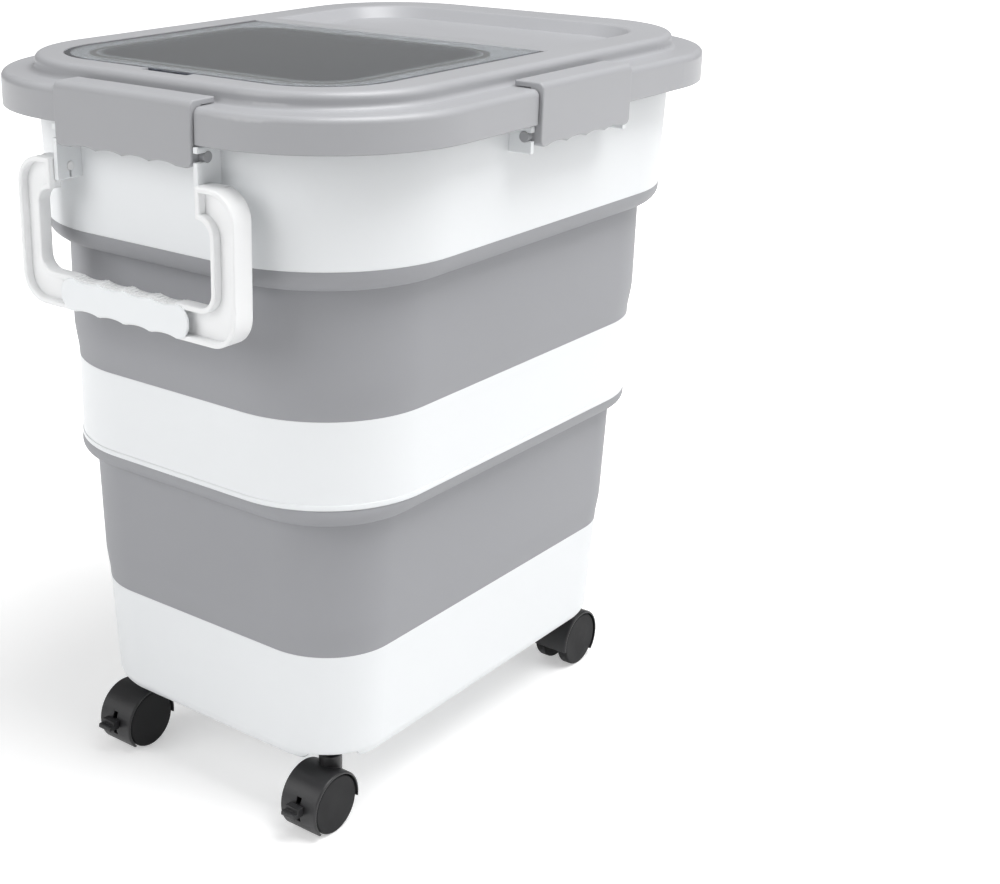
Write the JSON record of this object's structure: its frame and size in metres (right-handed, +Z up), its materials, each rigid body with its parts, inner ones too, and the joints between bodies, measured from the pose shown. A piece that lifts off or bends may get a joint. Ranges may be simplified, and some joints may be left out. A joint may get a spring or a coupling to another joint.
{
  "type": "collapsible rice storage container",
  "caption": "Collapsible wheeled storage bin: stacked rigid rings with soft folding walls, latched lid with a flip-up clear window, swing end handles and braked swivel casters.",
  "frame": {"origin": "on the floor, under the middle of the container, standing unfolded on its wheels", "axes": "+Z up, -Y towards the end with the flip-up window, +X to the right seen from that end"},
  "size_m": [0.3146, 0.4224, 0.452],
  "materials": {
    "white_shell": "satin moulded white",
    "grey_lid": "satin moulded grey",
    "grey_bellows": "matt soft elastomer",
    "clear_window": "clear, slightly smoky",
    "soft_seal": "matt silicone",
    "white_handle": "moulded white",
    "pale_grip": "satin off-white insert",
    "black_plastic": "satin moulded black",
    "chrome_stem": "bright plated steel",
    "steel_axle": "drawn steel"
  },
  "bodies": {
    "base": {"base_tub": "white_shell", "lower_bellows": "grey_bellows", "caster_stem_front_left": "chrome_stem", "caster_stem_front_right": "chrome_stem", "caster_stem_back_left": "chrome_stem", "caster_stem_back_right": "chrome_stem"},
    "middle": {"middle_ring": "white_shell", "upper_bellows": "grey_bellows"},
    "top": {"top_ring": "white_shell", "lid": "grey_lid", "lid_seal": "soft_seal"},
    "window": {"window_panel": "clear_window", "window_seal": "soft_seal"},
    "front_latch": {"latch_front": "grey_lid"},
    "back_latch": {"latch_back": "grey_lid"},
    "left_latch": {"latch_left": "grey_lid"},
    "right_latch": {"latch_right": "grey_lid"},
    "front_handle": {"handle_front": "white_handle", "handle_grip_front": "pale_grip"},
    "back_handle": {"handle_back": "white_handle", "handle_grip_back": "pale_grip"},
    "front_left_caster": {"caster_hood_front_left": "black_plastic"},
    "front_left_wheels": {"caster_axle_front_left": "steel_axle", "caster_left_wheel_front_left": "black_plastic", "caster_right_wheel_front_left": "black_plastic"},
    "front_left_brake": {"brake_lever_front_left": "black_plastic"},
    "front_right_caster": {"caster_hood_front_right": "black_plastic"},
    "front_right_wheels": {"caster_axle_front_right": "steel_axle", "caster_left_wheel_front_right": "black_plastic", "caster_right_wheel_front_right": "black_plastic"},
    "front_right_brake": {"brake_lever_front_right": "black_plastic"},
    "back_left_caster": {"caster_hood_back_left": "black_plastic"},
    "back_left_wheels": {"caster_axle_back_left": "steel_axle", "caster_left_wheel_back_left": "black_plastic", "caster_right_wheel_back_left": "black_plastic"},
    "back_left_brake": {"brake_lever_back_left": "black_plastic"},
    "back_right_caster": {"caster_hood_back_right": "black_plastic"},
    "back_right_wheels": {"caster_axle_back_right": "steel_axle", "caster_left_wheel_back_right": "black_plastic", "caster_right_wheel_back_right": "black_plastic"},
    "back_right_brake": {"brake_lever_back_right": "black_plastic"}
  },
  "joints": [
    {"name": "lower_fold", "type": "slide", "parent": "base", "child": "middle", "axis": [0, 0, 1], "range_m": [-0.1728, 0], "deforming": ["lower_bellows"]},
    {"name": "upper_fold", "type": "slide", "parent": "middle", "child": "top", "axis": [0, 0, 1], "range_m": [-0.1402, 0], "deforming": ["upper_bellows"]},
    {"name": "window_hinge", "type": "hinge", "parent": "top", "child": "window", "pos_m": [0, 0.0235, 0.4502], "axis": [-1, 0, 0], "range_deg": [0, 105]},
    {"name": "front_latch_hinge", "type": "hinge", "parent": "top", "child": "front_latch", "pos_m": [0, -0.1985, 0.4175], "axis": [1, 0, 0], "range_deg": [0, 95]},
    {"name": "back_latch_hinge", "type": "hinge", "parent": "top", "child": "back_latch", "pos_m": [0, 0.1985, 0.4175], "axis": [-1, 0, 0], "range_deg": [0, 95]},
    {"name": "left_latch_hinge", "type": "hinge", "parent": "top", "child": "left_latch", "pos_m": [-0.1485, 0, 0.4175], "axis": [0, -1, 0], "range_deg": [0, 95]},
    {"name": "right_latch_hinge", "type": "hinge", "parent": "top", "child": "right_latch", "pos_m": [0.1485, 0, 0.4175], "axis": [0, 1, 0], "range_deg": [0, 95]},
    {"name": "front_handle_hinge", "type": "hinge", "parent": "top", "child": "front_handle", "pos_m": [0, -0.197, 0.3987], "axis": [-1, 0, 0], "range_deg": [0, 95]},
    {"name": "back_handle_hinge", "type": "hinge", "parent": "top", "child": "back_handle", "pos_m": [0, 0.197, 0.3987], "axis": [1, 0, 0], "range_deg": [0, 95]},
    {"name": "front_left_swivel", "type": "hinge", "parent": "base", "child": "front_left_caster", "pos_m": [-0.0788, -0.1288, 0.0462], "axis": [0, 0, 1], "continuous": true},
    {"name": "front_left_wheel_spin", "type": "hinge", "parent": "front_left_caster", "child": "front_left_wheels", "pos_m": [-0.0788, -0.1388, 0.019], "axis": [1, 0, 0], "continuous": true},
    {"name": "front_left_brake_lever", "type": "hinge", "parent": "front_left_caster", "child": "front_left_brake", "pos_m": [-0.0788, -0.1388, 0.019], "axis": [1, 0, 0], "range_deg": [-16, 16]},
    {"name": "front_right_swivel", "type": "hinge", "parent": "base", "child": "front_right_caster", "pos_m": [0.0788, -0.1288, 0.0462], "axis": [0, 0, 1], "continuous": true},
    {"name": "front_right_wheel_spin", "type": "hinge", "parent": "front_right_caster", "child": "front_right_wheels", "pos_m": [0.0788, -0.1388, 0.019], "axis": [1, 0, 0], "continuous": true},
    {"name": "front_right_brake_lever", "type": "hinge", "parent": "front_right_caster", "child": "front_right_brake", "pos_m": [0.0788, -0.1388, 0.019], "axis": [1, 0, 0], "range_deg": [-16, 16]},
    {"name": "back_left_swivel", "type": "hinge", "parent": "base", "child": "back_left_caster", "pos_m": [-0.0788, 0.1288, 0.0462], "axis": [0, 0, 1], "continuous": true},
    {"name": "back_left_wheel_spin", "type": "hinge", "parent": "back_left_caster", "child": "back_left_wheels", "pos_m": [-0.0788, 0.1388, 0.019], "axis": [-1, 0, 0], "continuous": true},
    {"name": "back_left_brake_lever", "type": "hinge", "parent": "back_left_caster", "child": "back_left_brake", "pos_m": [-0.0788, 0.1388, 0.019], "axis": [-1, 0, 0], "range_deg": [-16, 16]},
    {"name": "back_right_swivel", "type": "hinge", "parent": "base", "child": "back_right_caster", "pos_m": [0.0788, 0.1288, 0.0462], "axis": [0, 0, 1], "continuous": true},
    {"name": "back_right_wheel_spin", "type": "hinge", "parent": "back_right_caster", "child": "back_right_wheels", "pos_m": [0.0788, 0.1388, 0.019], "axis": [-1, 0, 0], "continuous": true},
    {"name": "back_right_brake_lever", "type": "hinge", "parent": "back_right_caster", "child": "back_right_brake", "pos_m": [0.0788, 0.1388, 0.019], "axis": [-1, 0, 0], "range_deg": [-16, 16]}
  ]
}
